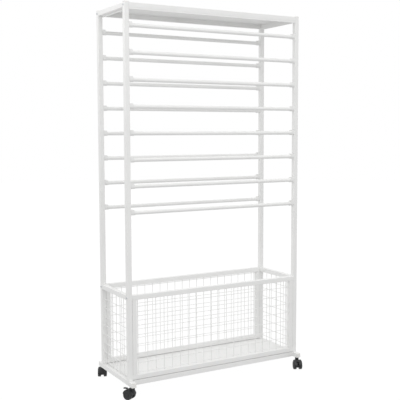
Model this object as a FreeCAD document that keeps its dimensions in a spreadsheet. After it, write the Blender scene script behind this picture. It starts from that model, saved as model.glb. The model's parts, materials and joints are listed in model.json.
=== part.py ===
import FreeCAD
import Part
import Sketcher

import os
import re

# A rolling rack for goods on rolls: two side frames of square tube, bolted cross rails, eight levels of
# lift-out rods in open cradles, a sheet shelf, a wire-mesh basket and four swivel casters.
# Millimetres, +Z up, +X to the right, -Y towards the front, the origin on the floor under the middle.

from FreeCAD import Placement, Rotation, Vector

doc = FreeCAD.newDocument("rod_rack")

# Driving dimensions
sheet = doc.addObject("Spreadsheet::Sheet", "sizes")
DRIVING = {
    "frame_width": 850,  # over the posts, left to right
    "frame_depth": 290,  # over the posts, front to rear
    "overall_height": 1600,  # floor to the top of the post caps
    "tube": 20,  # side of the square tube
    "tube_wall": 1.2,  # wall of the square tube
    "tube_corner": 1.2,  # outer corner facet of the square tube
    "cap_thickness": 3,  # head of a tube cap
    "cap_depth": 4,  # spigot of a tube cap inside the tube
    "cap_round": 1.2,  # bevelled rim of a tube cap

    "caster_height": 52,  # floor to the underside of the base rails
    "base_overhang": 32,  # base side rail past the posts, with its plug
    "basket_top": 427,  # floor to the top of the basket rails
    "panel_lift": 2.5,  # base rails to the bottom rail of a basket frame
    "upright_count": 19,  # upright wires of a long mesh panel
    "side_upright_count": 5,  # upright wires of a short mesh panel
    "cross_count": 7,  # cross wires of a mesh panel
    "wire_diameter": 2.6,  # mesh wire
    "tray_sheet": 0.8,  # sheet of the basket's floor
    "tray_flange": 10,  # turned-down ends of the basket's floor
    "tray_side_gap": 0.5,  # floor's ends to the base side rails
    "tray_edge_inset": 1,  # floor's long edges behind the base rails' faces

    "shelf_sheet": 1,  # sheet of the top shelf
    "shelf_skirt": 26.5,  # turned-down sides and front lip of the top shelf, below its top
    "shelf_bend": 1.6,  # outer bend radius of the top shelf

    "rod_levels": 8,  # rods one above the other
    "rod_drop": 91,  # overall height to the centre of the highest rods
    "basket_headroom": 335.8,  # basket rails to the centre of the lowest rods
    "rod_diameter": 16,  # rod tube
    "rod_wall": 1,  # wall of the rod tube
    "rod_end_gap": 2,  # rod's ends to the posts
    "cradle_clearance": 0.3,  # rod to cradle, all round
    "cradle_sheet": 1.6,  # strip that the cradles are bent from
    "cradle_length": 19,  # cradle along the rod, at its foot
    "cradle_tip": 13,  # cradle along the rod, at its tips
    "cradle_rise": 13,  # rod's centre to the cradle's tips

    "screw_diameter": 6,  # shank of the frame screws
    "screw_hole_gap": 0.2,  # screw to its hole, all round
    "thread_gap": 0.05,  # screw or stem to its nut, all round
    "screw_reach": 12,  # screw past the post, into the insert
    "screw_head_across": 11.5,  # hexagon head of the frame screws, across its corners
    "screw_head_height": 3,  # head of the frame screws
    "insert_length": 15,  # threaded insert in a rail's end

    "wheel_diameter": 40,  # caster wheel
    "wheel_width": 13,  # one of the two wheels of a caster
    "wheel_shoulder": 3.5,  # bevelled outer shoulder of a wheel
    "wheel_dish_outer": 28,  # dish in a wheel's outer face, outer diameter
    "wheel_dish_inner": 13,  # dish in a wheel's outer face, inner diameter
    "wheel_dish_depth": 1.2,  # dish in a wheel's outer face
    "wheel_cap": 2.5,  # closed outer face of a wheel over its axle
    "wheel_side_gap": 0.6,  # wheel to the housing's web
    "web_width": 12,  # housing's web between the wheels
    "web_foot_diameter": 26,  # web below the axle
    "hood_gap": 1.5,  # wheel to the hood, all round
    "hood_wall": 2,  # hood over the wheels
    "hood_edge": 3,  # hood's lower edge above the axle
    "hood_inset": 2.5,  # hood's rims behind the wheels' outer faces
    "hood_rim": 1.2,  # bevelled rims of the hood
    "caster_trail": 17,  # stem to axle, level
    "heading_left": 121,  # direction of the front-left caster's trail, degrees from +X
    "heading_right": 244,  # direction of the front-right caster's trail, degrees from +X
    "axle_diameter": 6,  # caster axle
    "axle_gap": 0.06,  # axle to its bore in the web, all round
    "stem_diameter": 8,  # caster stem
    "stem_gap": 0.05,  # stem to its socket, all round
    "stem_inset": 14,  # stem to the outer end of the base side rail
    "stem_reach": 15,  # stem above the underside of the base side rail
    "stem_hole_gap": 0.3,  # stem to its hole in the rail, all round
    "socket_depth": 20,  # stem's socket in the housing
    "socket_floor_gap": 0.5,  # stem's end to the socket's floor
    "boss_diameter": 17,  # housing around the stem
    "boss_foot": 3,  # boss below the socket's floor
    "collar_across": 17,  # stem's hexagon collar under the rail, across its corners
    "collar_height": 2,  # stem's collar under the rail
    "swivel_gap": 0.3,  # housing to the collar
    "nut_across": 14.4,  # stem's nut, across its corners
    "nut_height": 6.5,  # stem's nut
    "lever_pivot_reach": 15,  # axle to the brake lever's pivot
    "lever_pivot_rise": 40,  # axle to the brake lever's pivot, degrees above level
    "lever_width": 7.4,  # brake lever's arm
    "lever_slot_gap": 0.3,  # lever's arm to its slot, each side
    "lever_eye": 3,  # radius of the lever's arm about its pivot
    "lever_thickness": 3,  # lever's arm and pedal
    "lever_arm": 15,  # pivot to the top of the pedal
    "pedal_length": 16,  # middle of the lever's arm to the end of its pedal
    "pedal_width": 12,  # brake lever's pedal
    "pedal_bevel": 1,  # bevelled end of the pedal
    "trunnion_diameter": 3,  # lever's pivot pins
    "trunnion_length": 1.6,  # lever's pivot pins, past the arm on each side
    "trunnion_gap": 0.05,  # pivot pin to its bore, all round
    "slot_start": 6,  # lever's slot, from the axle towards the pedal
    "slot_foot": 3,  # lever's slot, above the axle
    "slot_size": 24,  # lever's slot, its sides
}

for row, (alias, number) in enumerate(DRIVING.items(), 1):
    sheet.set("A%d" % row, alias)
    sheet.set("B%d" % row, str(number))
    sheet.setAlias("B%d" % row, alias)
doc.recompute()


def size(alias):
    """The number in a driving cell, for a sketch's first drawing and for counts of copies."""
    return float(getattr(sheet, alias))


def formula(words):
    """A formula in the sheet's words, as an expression on the sheet's cells."""
    return re.sub("[a-z_]+", lambda m: "sizes." + m.group() if m.group() in DRIVING else m.group(), words)


def bind(item, prop, words):
    item.setExpression(prop, formula(words))


# Places that several pieces share, as formulas in the sheet's words
POST_X = "(frame_width / 2 - tube / 2)"
POST_Y = "(frame_depth / 2 - tube / 2)"
INNER_X = "(frame_width / 2 - tube)"
INNER_Y = "(frame_depth / 2 - tube)"
BORE = "(tube - 2 * tube_wall)"
POST_TOP = "(overall_height - cap_thickness)"
BASE_TOP = "(caster_height + tube)"
PANEL_FOOT = "(%s + panel_lift)" % BASE_TOP
STEM_Y = "(frame_depth / 2 + base_overhang - stem_inset)"
ROD_TOP = "(overall_height - rod_drop)"
ROD_SPAN = "(%s - basket_top - basket_headroom)" % ROD_TOP

# Heights of the rails' centre lines: the top rails and the basket's top rails are bolted
BASE_LINE = "(caster_height + tube / 2)"
PANEL_LINE = "(%s + tube / 2)" % PANEL_FOOT
BASKET_LINE = "(basket_top - tube / 2)"
TOP_LINE = "(%s - tube / 2)" % POST_TOP
BOLTED_LINES = (BASKET_LINE, TOP_LINE)

X_AXIS, Y_AXIS, Z_AXIS = Vector(1, 0, 0), Vector(0, 1, 0), Vector(0, 0, 1)
WIRE_FACES = 8
SIDES = (("left", -1), ("right", 1))
ENDS = (("front", -1), ("rear", 1))


# Helpers for bodies, sketches and features

def new_body(label):
    body = doc.addObject("PartDesign::Body", label)
    body.Label = label
    body.AllowCompound = True
    return body


def origin_part(body, role):
    return next(part for part in body.Origin.OriginFeatures if part.Role == role)


def new_sketch(body, plane, lift="0"):
    """A sketch on one of the body's own origin planes, lifted along that plane's normal."""
    sketch = body.newObject("Sketcher::SketchObject", body.Label + "_sketch")
    sketch.AttachmentSupport = [(origin_part(body, plane), "")]
    sketch.MapMode = "FlatFace"
    bind(sketch, "AttachmentOffset.Base.z", lift)
    return sketch


def named(sketch, name, words, *constraint):
    """A dimension of the sketch, bound to a formula."""
    number = sketch.addConstraint(Sketcher.Constraint(*constraint))
    sketch.renameConstraint(number, name)
    bind(sketch, "Constraints." + name, words)


def locate(sketch, name, point, x, y):
    """Ties a point of the sketch to a place measured from the sketch's origin."""
    for letter, kind, words in (("x", "DistanceX", x), ("y", "DistanceY", y)):
        if words == "0":
            axis = -2 if letter == "x" else -1
            sketch.addConstraint(Sketcher.Constraint("PointOnObject", point[0], point[1], axis))
        else:
            named(sketch, name + "_" + letter, words, kind, -1, 1, point[0], point[1], 1.0)


def rectangle(sketch, name, width, height, x="0", y="0"):
    """A rectangle about a centre point."""
    first = sketch.GeometryCount
    corners = [Vector(-5, -5, 0), Vector(5, -5, 0), Vector(5, 5, 0), Vector(-5, 5, 0)]
    for start, end in zip(corners, corners[1:] + corners[:1]):
        sketch.addGeometry(Part.LineSegment(start, end))
    for line in range(4):
        sketch.addConstraint(Sketcher.Constraint("Coincident", first + line, 2, first + (line + 1) % 4, 1))
        kind = "Vertical" if line % 2 else "Horizontal"
        sketch.addConstraint(Sketcher.Constraint(kind, first + line))
    centre = sketch.addGeometry(Part.Point(Vector(0, 0, 0)))
    sketch.addConstraint(Sketcher.Constraint("Symmetric", first, 1, first + 1, 2, centre, 1))
    locate(sketch, name, (centre, 1), x, y)
    named(sketch, name + "_width", width, "DistanceX", first, 1, first, 2, 10.0)
    named(sketch, name + "_height", height, "DistanceY", first + 1, 1, first + 1, 2, 10.0)


def outline(sketch, name, points):
    """A closed outline of straight lines, each corner tied to its own place."""
    first = sketch.GeometryCount
    count = len(points)
    turn = Rotation(Z_AXIS, 360.0 / count)
    corner = Vector(5, 0, 0)
    for line in range(count):
        following = turn.multVec(corner)
        sketch.addGeometry(Part.LineSegment(corner, following))
        corner = following
    for line, (x, y) in enumerate(points):
        after = first + (line + 1) % count
        sketch.addConstraint(Sketcher.Constraint("Coincident", first + line, 2, after, 1))
        locate(sketch, "%s_%d" % (name, line), (first + line, 1), x, y)


def circle(sketch, name, diameter, x="0", y="0"):
    number = sketch.addGeometry(Part.Circle(Vector(0, 0, 0), Z_AXIS, 5))
    locate(sketch, name, (number, 3), x, y)
    named(sketch, name + "_diameter", diameter, "Diameter", number, 10.0)


def pad(body, sketch, length, symmetric=False, backwards=False):
    feature = body.newObject("PartDesign::Pad", body.Label + "_pad")
    feature.Profile = sketch
    feature.Midplane = symmetric
    feature.Reversed = backwards
    bind(feature, "Length", length)
    doc.recompute([sketch, feature])
    return feature


def prism(body, plane, faces, radius, height, x="0", y="0", lift="0"):
    """A regular prism that stands on one of the body's origin planes, or lifted off it."""
    feature = body.newObject("PartDesign::AdditivePrism", body.Label + "_prism")
    feature.AttachmentSupport = [(origin_part(body, plane), "")]
    feature.MapMode = "FlatFace"
    feature.Polygon = faces
    bind(feature, "Circumradius", radius)
    bind(feature, "Height", height)
    for letter, words in (("x", x), ("y", y), ("z", lift)):
        bind(feature, "AttachmentOffset.Base." + letter, words)
    doc.recompute([feature])
    return feature


def hexagon(body, plane, across, height, lift="0"):
    """A six-sided prism, for heads, collars and nuts that take a spanner."""
    return prism(body, plane, 6, "%s / 2" % across, height, lift=lift)


def pocket(body, sketch, depth=None, symmetric=False, backwards=False):
    """A cut that has to remove something: right through where no depth is given."""
    before = body.Tip.Shape.Volume
    feature = body.newObject("PartDesign::Pocket", body.Label + "_pocket")
    feature.Profile = sketch
    feature.Midplane = symmetric
    feature.Reversed = backwards
    if depth is None:
        feature.Type = "ThroughAll"
    else:
        bind(feature, "Length", depth)
    doc.recompute([sketch, feature])
    if feature.Shape.Volume >= before:
        raise RuntimeError(body.Label + ": a pocket removed nothing")
    return feature


def picked(base, wanted):
    """The edges of a feature that a test picks."""
    return base, ["Edge%d" % number for number, edge in enumerate(base.Shape.Edges, 1) if wanted(edge)]


def fillet(body, base, radius, wanted):
    feature = body.newObject("PartDesign::Fillet", body.Label + "_fillet")
    feature.Base = picked(base, wanted)
    bind(feature, "Radius", radius)
    doc.recompute([feature])
    return feature


def chamfer(body, base, width, wanted):
    feature = body.newObject("PartDesign::Chamfer", body.Label + "_chamfer")
    feature.Base = picked(base, wanted)
    bind(feature, "Size", width)
    doc.recompute([feature])
    return feature


def row_of(body, feature, axis, pitch, count):
    """Copies of a feature along one of the body's axes, a pitch apart."""
    pattern = body.newObject("PartDesign::LinearPattern", body.Label + "_row")
    pattern.Originals = [feature]
    pattern.Direction = (origin_part(body, axis), [""])
    bind(pattern, "Length", "(%s) * (%s - 1)" % (pitch, count))
    bind(pattern, "Occurrences", count)
    body.Tip = pattern
    doc.recompute([pattern])
    return pattern


def place(item, x="0", y="0", z="0", turn=None):
    item.Placement = Placement(Vector(), turn or Rotation())
    for letter, words in (("x", x), ("y", y), ("z", z)):
        bind(item, "Placement.Base." + letter, words)


def group(label, members, x="0", y="0", z="0", turn=None):
    """Several pieces as one object, without joining their solids."""
    compound = doc.addObject("Part::Compound", label)
    compound.Label = label
    compound.Links = members
    place(compound, x, y, z, turn)
    return compound


def signed(sign, words):
    return "%d * %s" % (sign, words)


# Square tube

def is_corner(edge, axis):
    """A long outer corner edge of a tube that is centred on its own axis."""
    start, end = edge.firstVertex().Point, edge.lastVertex().Point
    along = end - start
    if along.Length < size("tube") or abs(along.normalize() * axis) < 0.999:
        return False
    off_axis = start - axis * (start * axis)
    return off_axis.Length > (size("tube") - size("tube_wall")) * 0.5 * 2 ** 0.5


def tube(label, axis, length, x, y, z, symmetric=True):
    """Square tube with eased corners along an axis, centred on it."""
    plane = {"x": "YZ_Plane", "y": "XZ_Plane", "z": "XY_Plane"}[axis]
    direction = {"x": X_AXIS, "y": Y_AXIS, "z": Z_AXIS}[axis]
    body = new_body(label)
    section = new_sketch(body, plane)
    rectangle(section, "outside", "tube", "tube")
    rectangle(section, "inside", BORE, BORE)
    wall = pad(body, section, length, symmetric)
    chamfer(body, wall, "tube_corner", lambda edge: is_corner(edge, direction))
    place(body, x, y, z)
    return body


def post(label, x, y):
    """A post on its base side rail, drilled crosswise for the screws of the rails that meet it."""
    body = tube(label, "z", "%s - %s" % (POST_TOP, BASE_TOP), x, y, BASE_TOP, symmetric=False)
    holes = new_sketch(body, "YZ_Plane")
    for number, line in enumerate(BOLTED_LINES):
        height = "%s - %s" % (line, BASE_TOP)
        circle(holes, "hole_%d" % number, "screw_diameter + 2 * screw_hole_gap", "0", height)
    pocket(body, holes, symmetric=True)
    return body


def base_side_rail(label, x):
    """A base side rail, drilled from below for the caster stems."""
    length = "frame_depth + 2 * (base_overhang - cap_thickness)"
    body = tube(label, "y", length, x, "0", BASE_LINE)
    stem_holes = new_sketch(body, "XY_Plane")
    for end, sign in ENDS:
        circle(stem_holes, end, "stem_diameter + 2 * stem_hole_gap", "0", signed(sign, STEM_Y))
    pocket(body, stem_holes)
    return body


nodes = []

for end, sign_y in ENDS:
    for side, sign_x in SIDES:
        nodes.append(post("post_%s_%s" % (end, side), signed(sign_x, POST_X), signed(sign_y, POST_Y)))
    nodes.append(tube("top_rail_" + end, "x", "2 * " + INNER_X, "0", signed(sign_y, POST_Y), TOP_LINE))
    nodes.append(tube("base_rail_" + end, "x", "2 * " + INNER_X, "0", signed(sign_y, POST_Y), BASE_LINE))

for side, sign_x in SIDES:
    beam_x = signed(sign_x, POST_X)
    nodes.append(tube("top_rail_" + side, "y", "2 * " + INNER_Y, beam_x, "0", TOP_LINE))
    nodes.append(tube("basket_rail_" + side, "y", "2 * " + INNER_Y, beam_x, "0", BASKET_LINE))
    nodes.append(base_side_rail("base_rail_" + side, beam_x))


# Caps for the posts' tops, and the same caps as plugs for the base side rails

def tube_cap():
    body = new_body("tube_cap")
    head = new_sketch(body, "XY_Plane")
    rectangle(head, "head", "tube", "tube")
    pad(body, head, "cap_thickness")
    spigot = new_sketch(body, "XY_Plane")
    rectangle(spigot, "spigot", BORE, BORE)
    stub = pad(body, spigot, "cap_depth", backwards=True)
    top = size("cap_thickness")
    chamfer(body, stub, "cap_round", lambda edge: min(v.Z for v in edge.Vertexes) > top * 0.99)
    return body


cap = tube_cap()
post_caps = []
base_plugs = []
for end, sign_y in ENDS:
    outwards = Rotation(X_AXIS, 90 if end == "front" else -90)
    for side, sign_x in SIDES:
        corner = "%s_%s" % (end, side)
        x = signed(sign_x, POST_X)
        post_caps.append(group("cap_" + corner, [cap], x, signed(sign_y, POST_Y), POST_TOP))
        plug_y = signed(sign_y, "(frame_depth / 2 + base_overhang - cap_thickness)")
        base_plugs.append(group("plug_" + corner, [cap], x, plug_y, BASE_LINE, outwards))
nodes.append(group("post_caps", post_caps))
nodes.append(group("base_end_plugs", base_plugs))


# Basket frames: two rails that the posts hold, with a stile welded between them at each end

def basket_frame(end, sign_y):
    y = signed(sign_y, POST_Y)
    low = tube("basket_foot_" + end, "x", "2 * " + INNER_X, "0", y, PANEL_LINE)
    high = tube("basket_head_" + end, "x", "2 * " + INNER_X, "0", y, BASKET_LINE)
    members = [low, high]
    for side, sign_x in SIDES:
        x = signed(sign_x, "(%s - tube / 2)" % INNER_X)
        middle = "(%s + %s) / 2" % (PANEL_LINE, BASKET_LINE)
        clear = "%s - %s - tube" % (BASKET_LINE, PANEL_LINE)
        stile = tube("basket_stile_%s_%s" % (end, side), "z", clear, x, y, middle)
        members.append(stile)
    return group("basket_frame_" + end, members)


for end, sign_y in ENDS:
    nodes.append(basket_frame(end, sign_y))


# Wire mesh: upright wires in one layer and cross wires in the next, welded where they touch

def wires(label, plane, axis, length, first, pitch, count, x, y, z):
    """A row of equal wires, square to a plane and a pitch apart along an axis."""
    body = new_body(label)
    across, along = first
    wire = prism(body, plane, WIRE_FACES, "wire_diameter / 2", length, across, along, "-(%s) / 2" % length)
    row_of(body, wire, axis, pitch, count)
    place(body, x, y, z)
    return body


CROSS_PITCH = "((%s - %s - tube) / (cross_count + 1))" % (BASKET_LINE, PANEL_LINE)
CROSS_START = "(%s + tube / 2 + %s)" % (PANEL_LINE, CROSS_PITCH)
LONG_CLEAR = "(2 * (%s - tube))" % INNER_X
LONG_PITCH = "(%s / (upright_count + 1))" % LONG_CLEAR
SHORT_CLEAR = "(2 * %s)" % INNER_Y
SHORT_PITCH = "(%s / (side_upright_count + 1))" % SHORT_CLEAR


def long_mesh(end, sign_y):
    clear = "%s - %s - tube" % (BASKET_LINE, PANEL_LINE)
    middle = "(%s + %s) / 2" % (PANEL_LINE, BASKET_LINE)
    front_layer = "%s - wire_diameter / 2" % signed(sign_y, POST_Y)
    rear_layer = "%s + wire_diameter / 2" % signed(sign_y, POST_Y)
    first = ("-1 * (%s / 2 - %s)" % (LONG_CLEAR, LONG_PITCH), "0")
    uprights = wires("upright_wires_" + end, "XY_Plane", "X_Axis", clear, first,
                     LONG_PITCH, "upright_count", "0", rear_layer, middle)
    crossing = wires("cross_wires_" + end, "YZ_Plane", "Z_Axis", LONG_CLEAR, ("0", CROSS_START),
                     CROSS_PITCH, "cross_count", "0", front_layer, "0")
    return group("wire_mesh_" + end, [uprights, crossing])


def short_mesh(side, sign_x):
    clear = "%s - tube / 2 - %s" % (BASKET_LINE, BASE_TOP)
    middle = "(%s - tube / 2 + %s) / 2" % (BASKET_LINE, BASE_TOP)
    inner_layer = "%s - %d * wire_diameter / 2" % (signed(sign_x, POST_X), sign_x)
    outer_layer = "%s + %d * wire_diameter / 2" % (signed(sign_x, POST_X), sign_x)
    first = ("0", "-1 * (%s / 2 - %s)" % (SHORT_CLEAR, SHORT_PITCH))
    uprights = wires("upright_wires_" + side, "XY_Plane", "Y_Axis", clear, first,
                     SHORT_PITCH, "side_upright_count", inner_layer, "0", middle)
    crossing = wires("cross_wires_" + side, "XZ_Plane", "Z_Axis", SHORT_CLEAR, ("0", CROSS_START),
                     CROSS_PITCH, "cross_count", outer_layer, "0", "0")
    return group("wire_mesh_" + side, [uprights, crossing])


for end, sign_y in ENDS:
    nodes.append(long_mesh(end, sign_y))
for side, sign_x in SIDES:
    nodes.append(short_mesh(side, sign_x))


# Top shelf: a pan let in between the top rails, with a lip that hooks forward under the front rail

def top_shelf():
    body = new_body("top_shelf")
    block = new_sketch(body, "XY_Plane")
    rectangle(block, "block", "2 * " + INNER_X, "2 * " + INNER_Y)
    pad(body, block, "shelf_skirt", backwards=True)
    hollow = new_sketch(body, "XY_Plane", "-shelf_sheet")
    rectangle(hollow, "hollow", "2 * (%s - shelf_sheet)" % INNER_X, "2 * (%s - shelf_sheet)" % INNER_Y)
    pan = pocket(body, hollow)
    half_width = size("frame_width") / 2 - size("tube")
    half_depth = size("frame_depth") / 2 - size("tube")

    def is_bend(edge):
        middle = edge.CenterOfMass
        on_side = abs(abs(middle.x) - half_width) < 0.01 or abs(abs(middle.y) - half_depth) < 0.01
        return on_side and abs(middle.z) < 0.01

    fillet(body, pan, "shelf_bend", is_bend)
    trimmed = new_sketch(body, "XY_Plane", "-shelf_skirt")
    between_sides = "2 * (%s - shelf_sheet)" % INNER_X
    rectangle(trimmed, "front_and_rear", between_sides, "2 * (%s + shelf_sheet)" % INNER_Y)
    pocket(body, trimmed, "shelf_skirt - tube - shelf_sheet", backwards=True)
    hook = new_sketch(body, "XY_Plane", "-tube")
    rectangle(hook, "hook", "2 * " + INNER_X, "tube", "0", signed(-1, POST_Y))
    pad(body, hook, "shelf_sheet", backwards=True)
    lip = new_sketch(body, "XY_Plane", "-tube")
    front = signed(-1, "(frame_depth / 2 - shelf_sheet / 2)")
    rectangle(lip, "lip", "2 * " + INNER_X, "shelf_sheet", "0", front)
    pad(body, lip, "shelf_skirt - tube", backwards=True)
    place(body, z=POST_TOP)
    return body


# Basket floor: a sheet on the front and rear base rails, its short ends turned down

def tray_floor():
    body = new_body("tray_floor")
    half = "(%s - tray_side_gap)" % INNER_X
    floor = new_sketch(body, "XY_Plane")
    rectangle(floor, "floor", "2 * " + half, "frame_depth - 2 * tray_edge_inset")
    pad(body, floor, "tray_sheet")
    flanges = new_sketch(body, "XY_Plane")
    for side, sign in SIDES:
        x = signed(sign, "(%s - tray_sheet / 2)" % half)
        rectangle(flanges, side, "tray_sheet", "2 * (%s - tray_edge_inset)" % INNER_Y, x)
    pad(body, flanges, "tray_flange", backwards=True)
    place(body, z=BASE_TOP)
    return body


nodes.append(top_shelf())
nodes.append(tray_floor())


# Cradles: U-shaped strips on the posts' inner faces, one above the other

def bent_strip(reach):
    """One face of a cradle's strip: up one side, down and round the rod in four bends, up the other side."""
    bend = "%s * tan(22.5)" % reach
    left = [("-" + reach, "cradle_rise"), ("-" + reach, "-" + bend), ("-" + bend, "-" + reach)]
    return left + [(x[1:], y) for x, y in reversed(left)]


def cradle_column():
    """One post's cradles, for a post on the left: they reach towards +X from its inner face."""
    body = new_body("cradle_column")
    inner = "(rod_diameter / 2 + cradle_clearance)"
    outer = "(%s + cradle_sheet)" % inner
    section = new_sketch(body, "YZ_Plane")
    outline(section, "strip", bent_strip(outer) + bent_strip(inner)[::-1])
    strip = pad(body, section, "cradle_length")

    slope = new_sketch(body, "XZ_Plane")
    corners = [("cradle_length", "0"), ("cradle_length", "cradle_rise"), ("cradle_tip", "cradle_rise")]
    outline(slope, "slope", corners)
    cut = pocket(body, slope, symmetric=True)

    levels = body.newObject("PartDesign::LinearPattern", "cradle_levels")
    levels.Originals = [strip, cut]
    levels.Direction = (origin_part(body, "Z_Axis"), [""])
    levels.Reversed = True
    bind(levels, "Length", ROD_SPAN)
    bind(levels, "Occurrences", "rod_levels")
    body.Tip = levels
    doc.recompute([levels])
    return body


column = cradle_column()
for end, sign_y in ENDS:
    y = signed(sign_y, POST_Y)
    left = group("cradles_%s_left" % end, [column], "-1 * " + INNER_X, y, ROD_TOP)
    right = group("cradles_%s_right" % end, [column], INNER_X, y, ROD_TOP, Rotation(Z_AXIS, 180))
    nodes.append(group("rod_cradles_" + end, [left, right]))


# Rods: thin tubes, lying loose in their cradles

def rod_tube():
    body = new_body("rod_tube")
    ring = new_sketch(body, "YZ_Plane")
    circle(ring, "outside", "rod_diameter")
    circle(ring, "inside", "rod_diameter - 2 * rod_wall")
    pad(body, ring, "2 * (%s - rod_end_gap)" % INNER_X, symmetric=True)
    return body


rod = rod_tube()
for end, sign_y in ENDS:
    for level in range(int(size("rod_levels"))):
        height = "%s - %d * %s / (rod_levels - 1)" % (ROD_TOP, level, ROD_SPAN)
        nodes.append(group("rod_%s_%d" % (end, level + 1), [rod], "0", signed(sign_y, POST_Y), height))


# Frame screws and the threaded inserts that they pull on

def frame_screw():
    """A screw along +X, its head's underside on the origin plane."""
    body = new_body("frame_screw")
    shank = new_sketch(body, "YZ_Plane")
    circle(shank, "shank", "screw_diameter")
    pad(body, shank, "tube + screw_reach")
    hexagon(body, "YZ_Plane", "screw_head_across", "screw_head_height", "-screw_head_height")
    return body


def threaded_insert():
    """A block that fills a rail's end, from the origin plane along +X, tapped for the screw."""
    body = new_body("threaded_insert")
    block = new_sketch(body, "YZ_Plane")
    rectangle(block, "block", BORE, BORE)
    circle(block, "thread", "screw_diameter + 2 * thread_gap")
    pad(body, block, "insert_length")
    return body


screw = frame_screw()
insert = threaded_insert()
screws = []
inserts = []
for side, sign_x in SIDES:
    inwards = Rotation(Z_AXIS, 0 if side == "left" else 180)
    for end, sign_y in ENDS:
        for number, line in enumerate(BOLTED_LINES):
            name = "%s_%s_%d" % (end, side, number)
            y = signed(sign_y, POST_Y)
            outer_x = signed(sign_x, "(frame_width / 2)")
            screws.append(group("screw_" + name, [screw], outer_x, y, line, inwards))
            inserts.append(group("insert_" + name, [insert], signed(sign_x, INNER_X), y, line, inwards))
nodes.append(group("frame_screws", screws))
nodes.append(group("threaded_inserts", inserts))


# Caster: built with its stem on the Z axis and its axle trailing along +X

AXLE_Z = "(wheel_diameter / 2)"
HOOD_BORE = "(wheel_diameter + 2 * hood_gap)"
HOOD_OUTSIDE = "(wheel_diameter + 2 * hood_gap + 2 * hood_wall)"
WHEELS_WIDTH = "(web_width + 2 * (wheel_side_gap + wheel_width))"
HOOD_WIDTH = "(%s - 2 * hood_inset)" % WHEELS_WIDTH
HOUSING_TOP = "(caster_height - collar_height - swivel_gap)"
PIVOT_X = "(caster_trail + lever_pivot_reach * cos(lever_pivot_rise))"
PIVOT_Z = "(%s + lever_pivot_reach * sin(lever_pivot_rise))" % AXLE_Z
LEVER_SLOT = "(lever_width + 2 * lever_slot_gap)"


def caster_housing(label, braked):
    body = new_body(label)
    hood = new_sketch(body, "XZ_Plane")
    circle(hood, "outside", HOOD_OUTSIDE, "caster_trail", AXLE_Z)
    drum = pad(body, hood, HOOD_WIDTH, symmetric=True)
    chamfer(body, drum, "hood_rim", lambda edge: len(edge.Vertexes) == 1)
    lower = new_sketch(body, "XZ_Plane")
    room = HOOD_OUTSIDE
    rectangle(lower, "lower", "2 * " + room, room, "caster_trail", "%s + hood_edge - %s / 2" % (AXLE_Z, room))
    pocket(body, lower, symmetric=True)
    foot = new_sketch(body, "XZ_Plane")
    circle(foot, "foot", "web_foot_diameter", "caster_trail", AXLE_Z)
    pad(body, foot, "web_width", symmetric=True)
    boss = new_sketch(body, "XY_Plane", HOUSING_TOP)
    circle(boss, "boss", "boss_diameter")
    pad(body, boss, "socket_depth + boss_foot", backwards=True)
    for backwards, lift in ((False, "-web_width / 2"), (True, "web_width / 2")):
        wheel_room = new_sketch(body, "XZ_Plane", lift)
        circle(wheel_room, "room", HOOD_BORE, "caster_trail", AXLE_Z)
        pocket(body, wheel_room, backwards=backwards)
    socket = new_sketch(body, "XY_Plane", HOUSING_TOP)
    circle(socket, "socket", "stem_diameter + 2 * stem_gap")
    pocket(body, socket, "socket_depth")
    bore = new_sketch(body, "XZ_Plane")
    circle(bore, "axle", "axle_diameter + 2 * axle_gap", "caster_trail", AXLE_Z)
    pocket(body, bore, symmetric=True)
    if braked:
        slot = new_sketch(body, "XZ_Plane")
        x = "caster_trail + slot_start + slot_size / 2"
        rectangle(slot, "slot", "slot_size", "slot_size", x, "%s + slot_foot + slot_size / 2" % AXLE_Z)
        pocket(body, slot, LEVER_SLOT, symmetric=True)
        pivot = new_sketch(body, "XZ_Plane")
        circle(pivot, "pivot", "trunnion_diameter + 2 * trunnion_gap", PIVOT_X, PIVOT_Z)
        pocket(body, pivot, "web_width", symmetric=True)
    return body


def caster_wheel():
    """The wheel on the -Y side of the web, its axle along Y through the origin."""
    body = new_body("caster_wheel")
    inner_face = "(web_width / 2 + wheel_side_gap)"
    disc = new_sketch(body, "XZ_Plane", inner_face)
    circle(disc, "tread", "wheel_diameter")
    tyre = pad(body, disc, "wheel_width")
    outer_face = -(size("web_width") / 2 + size("wheel_side_gap") + size("wheel_width"))
    chamfer(body, tyre, "wheel_shoulder", lambda edge: max(v.Y for v in edge.Vertexes) < outer_face * 0.99)
    bore = new_sketch(body, "XZ_Plane", inner_face)
    circle(bore, "axle", "axle_diameter")
    pocket(body, bore, "wheel_width - wheel_cap", backwards=True)
    dish = new_sketch(body, "XZ_Plane", "%s + wheel_width" % inner_face)
    circle(dish, "outer", "wheel_dish_outer")
    circle(dish, "inner", "wheel_dish_inner")
    pocket(body, dish, "wheel_dish_depth")
    return body


def caster_axle():
    body = new_body("caster_axle")
    section = new_sketch(body, "XZ_Plane")
    circle(section, "axle", "axle_diameter")
    pad(body, section, "%s - 2 * wheel_cap" % WHEELS_WIDTH, symmetric=True)
    return body


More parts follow.
